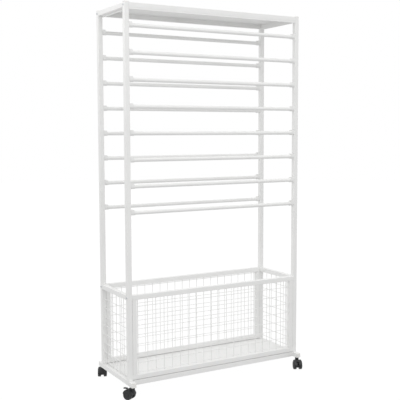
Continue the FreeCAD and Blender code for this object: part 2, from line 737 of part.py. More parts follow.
def brake_lever():
    """The lever, its pivot at the origin: an upright arm, and a level pedal that points towards +X."""
    body = new_body("brake_lever")
    eye = new_sketch(body, "XZ_Plane")
    circle(eye, "eye", "2 * lever_eye")
    pad(body, eye, "lever_width", symmetric=True)
    arm = new_sketch(body, "XZ_Plane")
    rectangle(arm, "arm", "lever_thickness", "lever_arm", "0", "lever_arm / 2")
    pad(body, arm, "lever_width", symmetric=True)
    tread = new_sketch(body, "XZ_Plane")
    height = "lever_arm - lever_thickness / 2"
    rectangle(tread, "pedal", "pedal_length", "lever_thickness", "pedal_length / 2", height)
    pedal = pad(body, tread, "pedal_width", symmetric=True)
    tip = size("pedal_length")
    chamfer(body, pedal, "pedal_bevel", lambda edge: edge.CenterOfMass.x > tip * 0.99)
    pins = new_sketch(body, "XZ_Plane")
    circle(pins, "pins", "trunnion_diameter")
    pad(body, pins, "lever_width + 2 * trunnion_length", symmetric=True)
    return body


def caster_stem():
    """The stem from the socket up into the base side rail, with the collar that the rail rests on."""
    body = new_body("caster_stem")
    shaft = new_sketch(body, "XY_Plane", "%s - socket_depth + socket_floor_gap" % HOUSING_TOP)
    circle(shaft, "shaft", "stem_diameter")
    pad(body, shaft, "socket_depth - socket_floor_gap + swivel_gap + collar_height + stem_reach")
    hexagon(body, "XY_Plane", "collar_across", "collar_height", "caster_height - collar_height")
    return body


def stem_nut():
    body = new_body("stem_nut")
    hexagon(body, "XY_Plane", "nut_across", "nut_height")
    thread = new_sketch(body, "XY_Plane")
    circle(thread, "thread", "stem_diameter + 2 * thread_gap")
    pocket(body, thread, backwards=True)
    return body


housings = {"front": caster_housing("braked_housing", True), "rear": caster_housing("plain_housing", False)}
wheel = caster_wheel()
axle = caster_axle()
lever = brake_lever()
stem = caster_stem()
nut = stem_nut()

opposite_wheel = group("opposite_wheel", [wheel], turn=Rotation(Z_AXIS, 180))
wheel_pair = group("wheel_pair", [wheel, opposite_wheel], "caster_trail", "0", AXLE_Z)
set_axle = group("set_axle", [axle], "caster_trail", "0", AXLE_Z)
set_lever = group("set_lever", [lever], PIVOT_X, "0", PIVOT_Z)

# The front casters stand as in the photo, and each rear one points against the front one across from it
HEADINGS = {
    "front_left": size("heading_left"),
    "front_right": size("heading_right"),
    "rear_left": size("heading_right") + 180,
    "rear_right": size("heading_left") + 180,
}

stems = []
nuts = []
for end, sign_y in ENDS:
    for side, sign_x in SIDES:
        corner = "%s_%s" % (end, side)
        x, y = signed(sign_x, POST_X), signed(sign_y, STEM_Y)
        heading = Rotation(Z_AXIS, HEADINGS[corner])
        nodes.append(group("caster_housing_" + corner, [housings[end]], x, y, "0", heading))
        nodes.append(group("caster_wheels_" + corner, [wheel_pair], x, y, "0", heading))
        nodes.append(group("caster_axle_" + corner, [set_axle], x, y, "0", heading))
        if end == "front":
            nodes.append(group("brake_lever_" + side, [set_lever], x, y, "0", heading))
        stems.append(group("stem_" + corner, [stem], x, y))
        nuts.append(group("nut_" + corner, [nut], x, y, "caster_height + tube_wall"))
nodes.append(group("caster_stems", stems))
nodes.append(group("stem_nuts", nuts))

doc.recompute()

# Every object and every sub-part is tested before anything is written
for item in doc.Objects:
    if "Invalid" in item.State or "Error" in item.State:
        raise RuntimeError("%s failed: %s" % (item.Label, item.State))
for node in nodes:
    if node.Shape.isNull() or not node.Shape.isValid():
        raise RuntimeError("%s has no valid shape" % node.Label)

os.makedirs("parts", exist_ok=True)
for node in nodes:
    node.Shape.exportStep(os.path.join("parts", node.Label + ".step"))
    box = node.Shape.BoundBox
    print("%-28s %3d solids  x %7.1f %7.1f  y %7.1f %7.1f  z %7.1f %7.1f" % (
        node.Label, len(node.Shape.Solids), box.XMin, box.XMax, box.YMin, box.YMax, box.ZMin, box.ZMax))
print(len(nodes), "pieces written")
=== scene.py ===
# %% [markdown]
# # A rolling rack for goods on rolls
# Four square posts carry sixteen loose rods in open cradles, a sheet shelf on top and a wire basket
# at the foot, and the rack rolls on four twin-wheel casters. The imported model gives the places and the
# main sizes, in metres. The cells below give each piece its finished form and its surface.

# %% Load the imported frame
import json
import math

import bmesh
import bpy
from mathutils import Matrix, Vector


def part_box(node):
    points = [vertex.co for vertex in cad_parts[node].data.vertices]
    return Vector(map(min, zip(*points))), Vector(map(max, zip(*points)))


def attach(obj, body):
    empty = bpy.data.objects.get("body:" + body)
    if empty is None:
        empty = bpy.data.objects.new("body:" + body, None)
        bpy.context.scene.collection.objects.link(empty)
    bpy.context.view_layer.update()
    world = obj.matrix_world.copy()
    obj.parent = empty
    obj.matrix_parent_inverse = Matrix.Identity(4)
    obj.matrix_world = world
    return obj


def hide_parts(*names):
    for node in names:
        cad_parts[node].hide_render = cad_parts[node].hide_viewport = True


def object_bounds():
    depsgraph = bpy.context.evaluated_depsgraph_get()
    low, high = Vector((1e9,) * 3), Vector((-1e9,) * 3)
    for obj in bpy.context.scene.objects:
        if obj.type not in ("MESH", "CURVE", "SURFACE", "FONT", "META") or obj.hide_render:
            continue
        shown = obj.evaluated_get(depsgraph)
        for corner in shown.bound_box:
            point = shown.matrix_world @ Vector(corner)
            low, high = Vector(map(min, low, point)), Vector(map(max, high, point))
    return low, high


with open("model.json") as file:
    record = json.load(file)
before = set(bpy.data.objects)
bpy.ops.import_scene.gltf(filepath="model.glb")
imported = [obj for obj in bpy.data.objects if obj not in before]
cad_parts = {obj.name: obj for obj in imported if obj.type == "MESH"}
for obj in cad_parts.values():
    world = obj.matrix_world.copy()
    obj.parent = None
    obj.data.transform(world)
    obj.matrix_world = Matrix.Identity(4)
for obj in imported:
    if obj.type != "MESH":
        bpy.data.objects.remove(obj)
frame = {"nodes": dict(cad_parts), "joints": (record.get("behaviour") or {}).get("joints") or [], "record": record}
cad_low, cad_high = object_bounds()
MM = 0.001

# %% Bodies, slots, joints and corners by name
RIDES_ON = {}
for body, members in frame["record"]["behaviour"]["bodies"].items():
    for member in members:
        RIDES_ON[member] = body
SLOT_OF = {row["node"]: row["material_slot"] for row in frame["record"]["subparts"]}
JOINTS = {joint["name"]: joint for joint in frame["joints"]}
ENDS = ("front", "rear")
SIDES = ("left", "right")
CORNERS = [(end, side) for end in ENDS for side in SIDES]
print("corners:", ["_".join(corner) for corner in CORNERS])

# %% [markdown]
# ## Finishes
# Nearly everything here is steel tube, sheet or wire with a white powder coat: dry paint powder that
# is melted on in an oven. It could be a plain white shader, but powder flows into a very shallow
# orange-peel skin that breaks up the highlights, so a noise pattern drives a small bump, and a
# slower one makes the gloss uneven. The other finishes are moulded plastic and zinc-plated steel.

# %% Colours and shader nodes
def linear(code):
    """An sRGB hex colour as the linear colour that a shader takes."""
    shares = [int(code[start:start + 2], 16) / 255 for start in (1, 3, 5)]
    return [s / 12.92 if s <= 0.04045 else ((s + 0.055) / 1.055) ** 2.4 for s in shares] + [1.0]


def add_node(tree, kind, inputs, **settings):
    """One shader node: its settings, and for each input a number, a colour or a link."""
    made = tree.nodes.new(kind)
    for name, value in settings.items():
        setattr(made, name, value)
    for name, value in inputs.items():
        if isinstance(value, bpy.types.NodeSocket):
            tree.links.new(value, made.inputs[name])
        else:
            made.inputs[name].default_value = value
    return made


def start_material(name):
    """An empty material and its node tree."""
    material = bpy.data.materials.new(name)
    material.use_nodes = True
    material.node_tree.nodes.clear()
    return material, material.node_tree


print("a mid grey as a shader takes it:", linear("#808080"))

# %% White powder coat on steel
# It gives the eye a satin white whose soft highlights waver slightly
PEEL = 4.0 * MM  # real peel is about 2 mm across; twice that, so that it shows in the render
PEEL_DEPTH = 0.1 * MM
CLOUD = 110.0 * MM  # across the patches where tone and gloss change a little


def powder_coated_steel():
    material, tree = start_material("white_powder_coated_steel")
    place = add_node(tree, "ShaderNodeTexCoord", {}).outputs["Object"]
    peel = add_node(tree, "ShaderNodeTexNoise", {"Vector": place, "Scale": 1 / PEEL, "Detail": 1.0})
    cloud = add_node(tree, "ShaderNodeTexNoise", {"Vector": place, "Scale": 1 / CLOUD, "Detail": 2.0})
    tone = add_node(tree, "ShaderNodeMixRGB", {
        "Fac": cloud.outputs["Fac"], "Color1": linear("#EDEDEC"), "Color2": linear("#F5F5F4")})
    gloss = add_node(tree, "ShaderNodeMapRange", {
        "Value": cloud.outputs["Fac"], "To Min": 0.36, "To Max": 0.5})
    skin = add_node(tree, "ShaderNodeBump", {
        "Height": peel.outputs["Fac"], "Strength": 0.15, "Distance": PEEL_DEPTH})
    shader = add_node(tree, "ShaderNodeBsdfPrincipled", {
        "Base Color": tone.outputs["Color"], "Roughness": gloss.outputs["Result"],
        "IOR": 1.5, "Normal": skin.outputs["Normal"]})
    add_node(tree, "ShaderNodeOutputMaterial", {"Surface": shader.outputs["BSDF"]})
    return material


white_steel = powder_coated_steel()
print("finish:", white_steel.name)

# %% Moulded plastics
# Black nylon: a dark grey with a wide dull sheen from the spark-eroded steel of its mould
# White polyethylene: a waxy white, a little smoother and warmer than the paint beside it
MOULD_GRAIN = 0.9 * MM  # real spark grain is under 0.3 mm; coarser, so that it shows in the render
MOULD_DEPTH = 0.05 * MM


def moulded_plastic(name, dark, light, roughness, grain):
    material, tree = start_material(name)
    place = add_node(tree, "ShaderNodeTexCoord", {}).outputs["Object"]
    spark = add_node(tree, "ShaderNodeTexNoise", {"Vector": place, "Scale": 1 / MOULD_GRAIN, "Detail": 2.0})
    tone = add_node(tree, "ShaderNodeMixRGB", {
        "Fac": spark.outputs["Fac"], "Color1": linear(dark), "Color2": linear(light)})
    skin = add_node(tree, "ShaderNodeBump", {
        "Height": spark.outputs["Fac"], "Strength": grain, "Distance": MOULD_DEPTH})
    shader = add_node(tree, "ShaderNodeBsdfPrincipled", {
        "Base Color": tone.outputs["Color"], "Roughness": roughness, "IOR": 1.53,
        "Normal": skin.outputs["Normal"]})
    add_node(tree, "ShaderNodeOutputMaterial", {"Surface": shader.outputs["BSDF"]})
    return material


black_nylon = moulded_plastic(
    "black_moulded_nylon", dark="#1D1E20", light="#2B2C2E", roughness=0.42, grain=0.35)
white_plastic = moulded_plastic(
    "white_moulded_polyethylene", dark="#EEEDEA", light="#F4F3F0", roughness=0.38, grain=0.08)
print("finishes:", black_nylon.name, white_plastic.name)

# %% Zinc-plated steel
# Screws, stems and axles: bright grey metal with a fine uneven crystal bloom
BLOOM = 1.5 * MM  # coarser than the real crystals, so that it shows in the render


def plated_steel():
    material, tree = start_material("zinc_plated_steel")
    place = add_node(tree, "ShaderNodeTexCoord", {}).outputs["Object"]
    bloom = add_node(tree, "ShaderNodeTexNoise", {"Vector": place, "Scale": 1 / BLOOM, "Detail": 3.0})
    gloss = add_node(tree, "ShaderNodeMapRange", {
        "Value": bloom.outputs["Fac"], "To Min": 0.36, "To Max": 0.52})
    shader = add_node(tree, "ShaderNodeBsdfPrincipled", {
        "Base Color": linear("#DADCDE"), "Metallic": 1.0, "Roughness": gloss.outputs["Result"]})
    add_node(tree, "ShaderNodeOutputMaterial", {"Surface": shader.outputs["BSDF"]})
    return material


zinc_steel = plated_steel()
print("finish:", zinc_steel.name)

# %% The finish of each material slot in the record
FINISHES = {
    "white_powder_coat": white_steel,
    "white_plastic": white_plastic,
    "zinc_steel": zinc_steel,
    "black_nylon": black_nylon,
}
print("slots:", sorted(set(SLOT_OF.values())))

# %% [markdown]
# ## From a bmesh to a finished piece
# Every piece ends in the same way, so one function does it: doubles are merged, the faces are turned
# outwards, the mesh gets the finish of its slot, and the piece is tied to the body that it moves with.
# Rounded edges are only a few faces wide. Smooth shading would smear their light over the flat faces
# beside them, so a Weighted Normal modifier lets the large faces decide.

# %% Finish and copy
MERGE = 0.005 * MM
SMOOTH_BELOW = math.radians(40)


def finish_piece(name, shape, node):
    """Turns a bmesh into an object that stands for a CAD node and rides on its body."""
    bmesh.ops.remove_doubles(shape, verts=shape.verts, dist=MERGE)
    bmesh.ops.recalc_face_normals(shape, faces=shape.faces)
    mesh = bpy.data.meshes.new(name)
    shape.to_mesh(mesh)
    shape.free()
    mesh.shade_smooth()
    mesh.set_sharp_from_angle(angle=SMOOTH_BELOW)
    mesh.materials.append(FINISHES[SLOT_OF[node]])
    piece = bpy.data.objects.new(name, mesh)
    bpy.context.scene.collection.objects.link(piece)
    flats = piece.modifiers.new("flat faces stay flat", "WEIGHTED_NORMAL")
    flats.keep_sharp = True
    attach(piece, RIDES_ON[node])
    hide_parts(node)
    print(name, "-", len(mesh.polygons), "faces")


def add_copy(shape, pattern, place):
    """Adds one more copy of a pattern, a bmesh that stays as it is, to a shape."""
    middle = bpy.data.meshes.new("pattern")
    pattern.to_mesh(middle)
    before = set(shape.verts)
    shape.from_mesh(middle)
    bpy.data.meshes.remove(middle)
    bmesh.ops.transform(shape, matrix=place, verts=[vert for vert in shape.verts if vert not in before])


print("points closer than %.3f mm are merged" % (MERGE / MM))

# %% [markdown]
# Some CAD forms are already right, only their edges are knife sharp, which no sheet or moulding is. For
# those a copy of the node's mesh is merged, its flat triangles are joined into whole faces, and every
# sharp edge is rounded.

# %% Eased copies of CAD nodes
FLAT_BELOW = math.radians(1)
SHARP_ABOVE = math.radians(50)


def sharp_edges(shape):
    return [edge for edge in shape.edges if edge.calc_face_angle(0) > SHARP_ABOVE]


def round_edges(shape, edges, radius, segments):
    bmesh.ops.bevel(shape, geom=edges, offset=radius, offset_type="OFFSET", segments=segments,
                    profile=0.5, affect="EDGES", material=-1, clamp_overlap=True)


def eased_copy(node, radius):
    """A copy of a CAD node's mesh with its sharp edges rounded."""
    shape = bmesh.new()
    shape.from_mesh(frame["nodes"][node].data)
    bmesh.ops.remove_doubles(shape, verts=shape.verts, dist=MERGE)
    bmesh.ops.dissolve_limit(shape, angle_limit=FLAT_BELOW, verts=shape.verts, edges=shape.edges)
    round_edges(shape, sharp_edges(shape), radius, segments=2)
    return shape


print("edges of more than %.0f degrees are rounded" % math.degrees(SHARP_ABOVE))

# %% [markdown]
# ## Square tube
# The frame is welded and bolted from 20 mm square tube, drawn through rollers that leave a small
# radius on all four corners. Every end butts on another tube or takes a cap, so the bore never shows.
# A cube stretched to the CAD box is enough: its long edges get the roller radius, and its ends a tiny
# break, which shows as the thin line where two tubes meet. The basket's front and rear frames are four
# such lengths each.

# %% One length of tube
TUBE_RADIUS = 2.0 * MM
END_BREAK = 0.35 * MM


def box_between(low, high):
    """A cube stretched between two corners."""
    shape = bmesh.new()
    stretch = Matrix.Diagonal(high - low).to_4x4()
    bmesh.ops.create_cube(shape, size=1.0, matrix=Matrix.Translation((low + high) / 2) @ stretch)
    return shape


def square_tube(low, high):
    shape = box_between(low, high)
    lengths = high - low
    along = max(range(3), key=lambda axis: lengths[axis])

    def run(edge):
        return abs(edge.verts[0].co[along] - edge.verts[1].co[along])

    long_edges = [edge for edge in shape.edges if run(edge) > lengths[along] / 2]
    round_edges(shape, long_edges, TUBE_RADIUS, segments=4)
    end_edges = [edge for edge in shape.edges if run(edge) < MERGE]
    round_edges(shape, end_edges, END_BREAK, segments=1)
    return shape


print("tube corners have a radius of %.1f mm" % (TUBE_RADIUS / MM))

# %% Posts and rails
single_tubes = ["post_%s_%s" % corner for corner in CORNERS]
for line in ("top_rail", "base_rail"):
    single_tubes += ["%s_%s" % (line, place) for place in ENDS + SIDES]
single_tubes += ["basket_rail_%s" % side for side in SIDES]
for node in single_tubes:
    finish_piece(node + "_tube", square_tube(*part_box(node)), node)

# %% Basket frames
post_low, post_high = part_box("post_front_left")
TUBE = post_high.x - post_low.x
SEAM = 0.5 * MM  # the stiles aren't welded to the posts, and a dark hairline shows between them


def basket_frame(node):
    """Two rails with a stile between them at each end."""
    low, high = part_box(node)
    shape = bmesh.new()
    stile_foot, stile_head = low.z + TUBE, high.z - TUBE
    left, right = low.x + SEAM, high.x - SEAM
    members = [
        (low, Vector((high.x, high.y, stile_foot))),
        (Vector((low.x, low.y, stile_head)), high),
        (Vector((left, low.y, stile_foot)), Vector((low.x + TUBE, high.y, stile_head))),
        (Vector((high.x - TUBE, low.y, stile_foot)), Vector((right, high.y, stile_head))),
    ]
    for member in members:
        add_copy(shape, square_tube(*member), Matrix.Identity(4))
    return shape


for end in ENDS:
    node = "basket_frame_" + end
    finish_piece(node + "_tubes", basket_frame(node), node)

# %% [markdown]
# ## Caps and plugs
# A moulded cap closes each post and each end of the base side rails. It is pushed in by a spigot that
# nobody sees, so only the head is made: a thin square with a soft rim, from a cube whose outer edges
# are bevelled.

# %% Tube caps
CAP_RIM = 1.2 * MM


def cap_head(low, high, outwards):
    """The head of a cap; outwards is the direction that it looks in."""
    shape = box_between(low, high)
    outer_face = max(shape.faces, key=lambda face: face.calc_center_median().dot(outwards))
    rim = list(outer_face.edges)
    sides = [edge for vert in outer_face.verts for edge in vert.link_edges if edge not in rim]
    round_edges(shape, rim + sides, CAP_RIM, segments=3)
    return shape


caps = bmesh.new()
plugs = bmesh.new()
plug_low, plug_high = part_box("base_end_plugs")
for end, side in CORNERS:
    low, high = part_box("post_%s_%s" % (end, side))
    head_low = Vector((low.x, low.y, high.z))
    head_high = Vector((high.x, high.y, cad_high.z))
    add_copy(caps, cap_head(head_low, head_high, Vector((0, 0, 1))), Matrix.Identity(4))
    low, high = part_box("base_rail_" + side)
    if end == "front":
        head_low, head_high = Vector((low.x, plug_low.y, low.z)), Vector((high.x, low.y, high.z))
    else:
        head_low, head_high = Vector((low.x, high.y, low.z)), Vector((high.x, plug_high.y, high.z))
    outwards = Vector((0, -1 if end == "front" else 1, 0))
    add_copy(plugs, cap_head(head_low, head_high, outwards), Matrix.Identity(4))
finish_piece("post_cap_heads", caps, "post_caps")
finish_piece("base_plug_heads", plugs, "base_end_plugs")

# %% [markdown]
# ## Shelf and basket floor
# The shelf is one sheet folded down on all four sides like a shallow lid, and at the front it is folded
# twice more, forward under the rail and down into a lip. It could be folded up again from a plane, but
# the CAD node has every fold, so an eased copy is enough. The floor of the basket is flat sheet that
# nobody sees from near: it keeps its CAD form and only gets the paint.

# %% Top shelf
SHEET_EASE = 0.3 * MM
finish_piece("folded_top_shelf", eased_copy("top_shelf", SHEET_EASE), "top_shelf")


# %% Basket floor
def paint_node(node):
    """A CAD node keeps its own form and gets the finish of its slot."""
    piece = frame["nodes"][node]
    finish = FINISHES[SLOT_OF[node]]
    piece.data.materials.clear()
    piece.data.materials.append(finish)
    print(node, "painted with", finish.name)


paint_node("tray_floor")

# %% [markdown]
# ## Wire mesh
# The basket's walls are drawn wire, upright wires in one layer and cross wires in the next, pressed
# together and spot-welded at each crossing. Such mesh is cut from a roll, so the wires of each wall
# begin at their own distance from the frame. A grid with a Wireframe modifier would be quicker, but all
# its wires lie in one layer. So each wire is a plain cylinder. There are 88 of them, and twelve sides
# each are enough.

# %% Wire panels
UPRIGHT_PITCH = 38.3 * MM
CROSS_PITCH = 39.3 * MM
EDGE_WIRE = 9.0 * MM  # the long walls also have a wire at this distance from each stile
# from the left or front side of each wall to its first upright, and from its foot to the first cross wire
FIRST_UPRIGHT = {"front": 53.3 * MM, "rear": 56.3 * MM, "left": 8.6 * MM, "right": 12.3 * MM}
FIRST_CROSS = {"front": 8.0 * MM, "rear": 32.2 * MM, "left": 17.1 * MM, "right": 18.9 * MM}
LAST_GAP = 4.0 * MM  # no wire stands closer than this to the far side of its frame
WIRE_SIDES = 12
wire_low, wire_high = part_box("wire_mesh_front")
WIRE = (wire_high.y - wire_low.y) / 2  # two layers of wire make up the thickness of a panel


def wire_places(first, far_side, pitch):
    """The places of the wires between the first one and the far side of the frame."""
    count = int((far_side - LAST_GAP - first) / pitch) + 1
    return [first + number * pitch for number in range(count)]


def add_wire(shape, start, finish):
    run = finish - start
    place = Matrix.Translation((start + finish) / 2) @ run.to_track_quat("Z", "Y").to_matrix().to_4x4()
    bmesh.ops.create_cone(shape, cap_ends=True, segments=WIRE_SIDES, radius1=WIRE / 2, radius2=WIRE / 2,
                          depth=run.length, matrix=place)


def wire_panel(place):
    """One wall of the basket; across is the axis that its cross wires run along."""
    low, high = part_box("wire_mesh_" + place)
    across, through = (0, 1) if place in ENDS else (1, 0)
    cross_layer, upright_layer = low[through] + WIRE / 2, high[through] - WIRE / 2
    if place == "right":  # its layers lie the other way round
        cross_layer, upright_layer = upright_layer, cross_layer
    shape = bmesh.new()
    uprights = wire_places(low[across] + FIRST_UPRIGHT[place], high[across], UPRIGHT_PITCH)
    if place in ENDS:
        uprights += [low[across] + EDGE_WIRE, high[across] - EDGE_WIRE]
    for along in uprights:
        foot, head = Vector((0, 0, low.z)), Vector((0, 0, high.z))
        foot[across] = head[across] = along
        foot[through] = head[through] = upright_layer
        add_wire(shape, foot, head)
    for height in wire_places(low.z + FIRST_CROSS[place], high.z, CROSS_PITCH):
        first, last = Vector(low), Vector(high)
        first.z = last.z = height
        first[through] = last[through] = cross_layer
        add_wire(shape, first, last)
    return shape


for place in ENDS + SIDES:
    node = "wire_mesh_" + place
    finish_piece(node + "_wires", wire_panel(place), node)

# %% [markdown]
# ## Rods
# Each rod is a thin tube that lies loose in two cradles and lifts out for a new roll. Turned shapes
# like this come from a profile that is spun once round: here the cut through the tube's wall, with a
# slightly broken edge at each end.

# %% Turned shapes
ROUND_STEPS = 40


def turned(profile, steps=ROUND_STEPS, closed=False):
    """Spins a profile of (place along X, radius) points once round the X axis."""
    shape = bmesh.new()
    verts = [shape.verts.new((along, 0, radius)) for along, radius in profile]
    pairs = list(zip(verts, verts[1:]))
    if closed:
        pairs.append((verts[-1], verts[0]))
    edges = [shape.edges.new(pair) for pair in pairs]
    bmesh.ops.spin(shape, geom=verts + edges, cent=(0, 0, 0), axis=(1, 0, 0), dvec=(0, 0, 0),
                   angle=2 * math.pi, steps=steps, use_merge=True)
    bmesh.ops.remove_doubles(shape, verts=shape.verts, dist=MERGE)
    return shape


def ring(shape, along, radius):
    """The edges of a turned shape that run round it at one place and radius."""
    def on_ring(vert):
        return abs(vert.co.x - along) < MERGE and abs(vert.co.yz.length - radius) < MERGE

    return [edge for edge in shape.edges if on_ring(edge.verts[0]) and on_ring(edge.verts[1])]


print("turned shapes have", ROUND_STEPS, "steps, unless they ask for more")

# %% The sixteen rods
ROD_WALL = 1.0 * MM
ROD_BREAK = 0.3 * MM
LEVELS = range(1, 1 + len([node for node in frame["nodes"] if node.startswith("rod_front_")]))


def rod_pattern(node):
    low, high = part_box(node)
    half = (high.x - low.x) / 2
    radius = (high.z - low.z) / 2
    bore = radius - ROD_WALL
    shape = turned([(-half, bore), (-half, radius), (half, radius), (half, bore)], closed=True)
    round_edges(shape, ring(shape, -half, radius) + ring(shape, half, radius), ROD_BREAK, segments=2)
    return shape


for end in ENDS:
    for level in LEVELS:
        node = "rod_%s_%d" % (end, level)
        low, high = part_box(node)
        shape = bmesh.new()
        add_copy(shape, rod_pattern(node), Matrix.Translation((low + high) / 2))
        finish_piece(node + "_tube", shape, node)

# %% [markdown]
# ## Cradles
# A cradle is a short strip of sheet bent into a U and welded to the post, with its free end cut at a
# slope so that a rod finds its way in. The bend is a half turn of the strip's thickness, the arms are
# extruded up from its ends, the whole U is extruded to its length, and one slanting cut trims it.

# %% The cradle pattern
rod_low, rod_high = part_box("rod_front_1")
cradle_low, cradle_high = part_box("rod_cradles_front")
CRADLE_SHEET = 1.6 * MM
CRADLE_OUTSIDE = (cradle_high.y - cradle_low.y) / 2  # the bend's outer radius
CRADLE_RISE = cradle_high.z - (rod_low.z + rod_high.z) / 2
CRADLE_LENGTH = 19 * MM  # along the rod
CRADLE_TIP = 13 * MM  # what the slope leaves of that length at the top
CRADLE_BREAK = 0.3 * MM
BEND_STEPS = 12


def cradle_pattern():
    """One cradle on a left post: the rod's axis is the X axis, and the post's face is at zero."""
    shape = bmesh.new()
    ends = [shape.verts.new((0, y, 0)) for y in (CRADLE_SHEET - CRADLE_OUTSIDE, -CRADLE_OUTSIDE)]
    thickness = shape.edges.new(ends)
    bmesh.ops.spin(shape, geom=ends + [thickness], cent=(0, 0, 0), axis=(1, 0, 0), dvec=(0, 0, 0),
                   angle=math.pi, steps=BEND_STEPS)
    arm_feet = [e for e in shape.edges if all(abs(vert.co.z) < MERGE for vert in e.verts)]
    arms = bmesh.ops.extrude_edge_only(shape, edges=arm_feet)
    tops = [item for item in arms["geom"] if isinstance(item, bmesh.types.BMVert)]
    bmesh.ops.translate(shape, verts=tops, vec=(0, 0, CRADLE_RISE))
    length = bmesh.ops.extrude_face_region(shape, geom=shape.faces[:])
    free_end = [item for item in length["geom"] if isinstance(item, bmesh.types.BMVert)]
    bmesh.ops.translate(shape, verts=free_end, vec=(CRADLE_LENGTH, 0, 0))
    slope = Vector((CRADLE_RISE, 0, CRADLE_LENGTH - CRADLE_TIP))
    everything = shape.verts[:] + shape.edges[:] + shape.faces[:]
    cut = bmesh.ops.bisect_plane(shape, geom=everything, dist=MERGE, plane_co=(CRADLE_LENGTH, 0, 0),
                                 plane_no=slope.normalized(), clear_outer=True)
    rim = [item for item in cut["geom_cut"] if isinstance(item, bmesh.types.BMEdge)]
    bmesh.ops.holes_fill(shape, edges=rim)
    bmesh.ops.recalc_face_normals(shape, faces=shape.faces)
    round_edges(shape, sharp_edges(shape), CRADLE_BREAK, segments=2)
    return shape


cradle = cradle_pattern()
print("cradle pattern:", len(cradle.faces), "faces")

# %% Cradles on the posts
for end in ENDS:
    shape = bmesh.new()
    for level in LEVELS:
        low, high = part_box("rod_%s_%d" % (end, level))
        centre = (low + high) / 2
        for turn, face in ((0, cradle_low.x), (math.pi, cradle_high.x)):
            at = Matrix.Translation((face, centre.y, centre.z))
            add_copy(shape, cradle, at @ Matrix.Rotation(turn, 4, "Z"))
    node = "rod_cradles_" + end
    finish_piece(node + "_bent", shape, node)

# %% [markdown]
# ## Frame screws
# The rails are pulled tight by screws through the posts, with a low domed head and a hexagon socket.
# The head starts as a disc that is extruded and rounded over, and its top is bridged to a smaller
# hexagon that is pushed down. The threads are out of sight inside the tubes.

# %% Screw heads
HEAD_RADIUS = 4.8 * MM
HEAD_HEIGHT = post_low.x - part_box("frame_screws")[0].x
DOME_SHARE = 0.75  # of the head's height, rounded over
SOCKET_RADIUS = 2.0 * MM
SOCKET_DEPTH = 1.4 * MM


def screw_head():
    """A head that looks along +Z, with its seat on the origin plane."""
    shape = bmesh.new()
    disc = bmesh.ops.create_circle(shape, cap_ends=True, segments=24, radius=HEAD_RADIUS)
    lifted = bmesh.ops.extrude_face_region(shape, geom=[disc["verts"][0].link_faces[0]])
    top_verts = [item for item in lifted["geom"] if isinstance(item, bmesh.types.BMVert)]
    bmesh.ops.translate(shape, verts=top_verts, vec=(0, 0, HEAD_HEIGHT))
    top = next(item for item in lifted["geom"] if isinstance(item, bmesh.types.BMFace))
    round_edges(shape, list(top.edges), HEAD_HEIGHT * DOME_SHARE, segments=5)
    crown = max(shape.faces, key=lambda face: face.calc_center_median().z)
    crown_rim = list(crown.edges)
    bmesh.ops.delete(shape, geom=[crown], context="FACES_ONLY")
    socket = bmesh.ops.create_circle(shape, cap_ends=True, segments=6, radius=SOCKET_RADIUS,
                                     matrix=Matrix.Translation((0, 0, HEAD_HEIGHT)))
    socket_face = socket["verts"][0].link_faces[0]
    socket_rim = list(socket_face.edges)
    sunk = bmesh.ops.extrude_face_region(shape, geom=[socket_face])
    floor_verts = [item for item in sunk["geom"] if isinstance(item, bmesh.types.BMVert)]
    bmesh.ops.translate(shape, verts=floor_verts, vec=(0, 0, -SOCKET_DEPTH))
    bmesh.ops.delete(shape, geom=[socket_face], context="FACES_ONLY")
    bmesh.ops.bridge_loops(shape, edges=crown_rim + socket_rim)
    return shape


head = screw_head()
print("screw head:", len(head.faces), "faces")

# %% Screws in the posts
screws = bmesh.new()
for end, side in CORNERS:
    low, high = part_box("post_%s_%s" % (end, side))
    outer_x, turn = (low.x, -90) if side == "left" else (high.x, 90)
    for rail in ("top_rail_", "basket_rail_"):
        rail_low, rail_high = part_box(rail + side)
        at = Matrix.Translation((outer_x, (low.y + high.y) / 2, (rail_low.z + rail_high.z) / 2))
        add_copy(screws, head, at @ Matrix.Rotation(math.radians(turn), 4, "Y"))
finish_piece("frame_screw_heads", screws, "frame_screws")
for node in ("threaded_inserts", "caster_stems", "stem_nuts"):
    paint_node(node)

# %% [markdown]
# ## Casters
# A twin-wheel caster has one moulded housing between two wheels: a hood over the treads, a web with
# the axle, and a socket for the stem. It could be modelled again, but the slots and bores of the CAD
# form are right, so each housing is an eased copy of its node.

# %% Housings
HOUSING_EASE = 0.5 * MM
for end, side in CORNERS:
    node = "caster_housing_%s_%s" % (end, side)
    finish_piece(node + "_moulded", eased_copy(node, HOUSING_EASE), node)

# %% [markdown]
# A wheel is turned: a tread with a wide round shoulder, a shallow dish in its outer face and a domed hub
# cap. The profile has only its corners, and the rings that the corners leave are rounded after the spin.

# %% Wheels
WEB_GAP = 6.6 * MM  # from the middle of the caster to the wheel
WHEEL_WIDTH = 13.0 * MM
WHEEL_RADIUS = JOINTS["wheel_roll_front_left"]["pos_m"][2]  # the axle's height above the floor
WHEEL_STEPS = 48
SHOULDER = 3.5 * MM
DISH_OUTER = 14.2 * MM
DISH_INNER = 6.6 * MM
DISH_DEPTH = 1.5 * MM
HUB_RADIUS = DISH_INNER - DISH_DEPTH / 2
WHEEL_EASE = 0.6 * MM


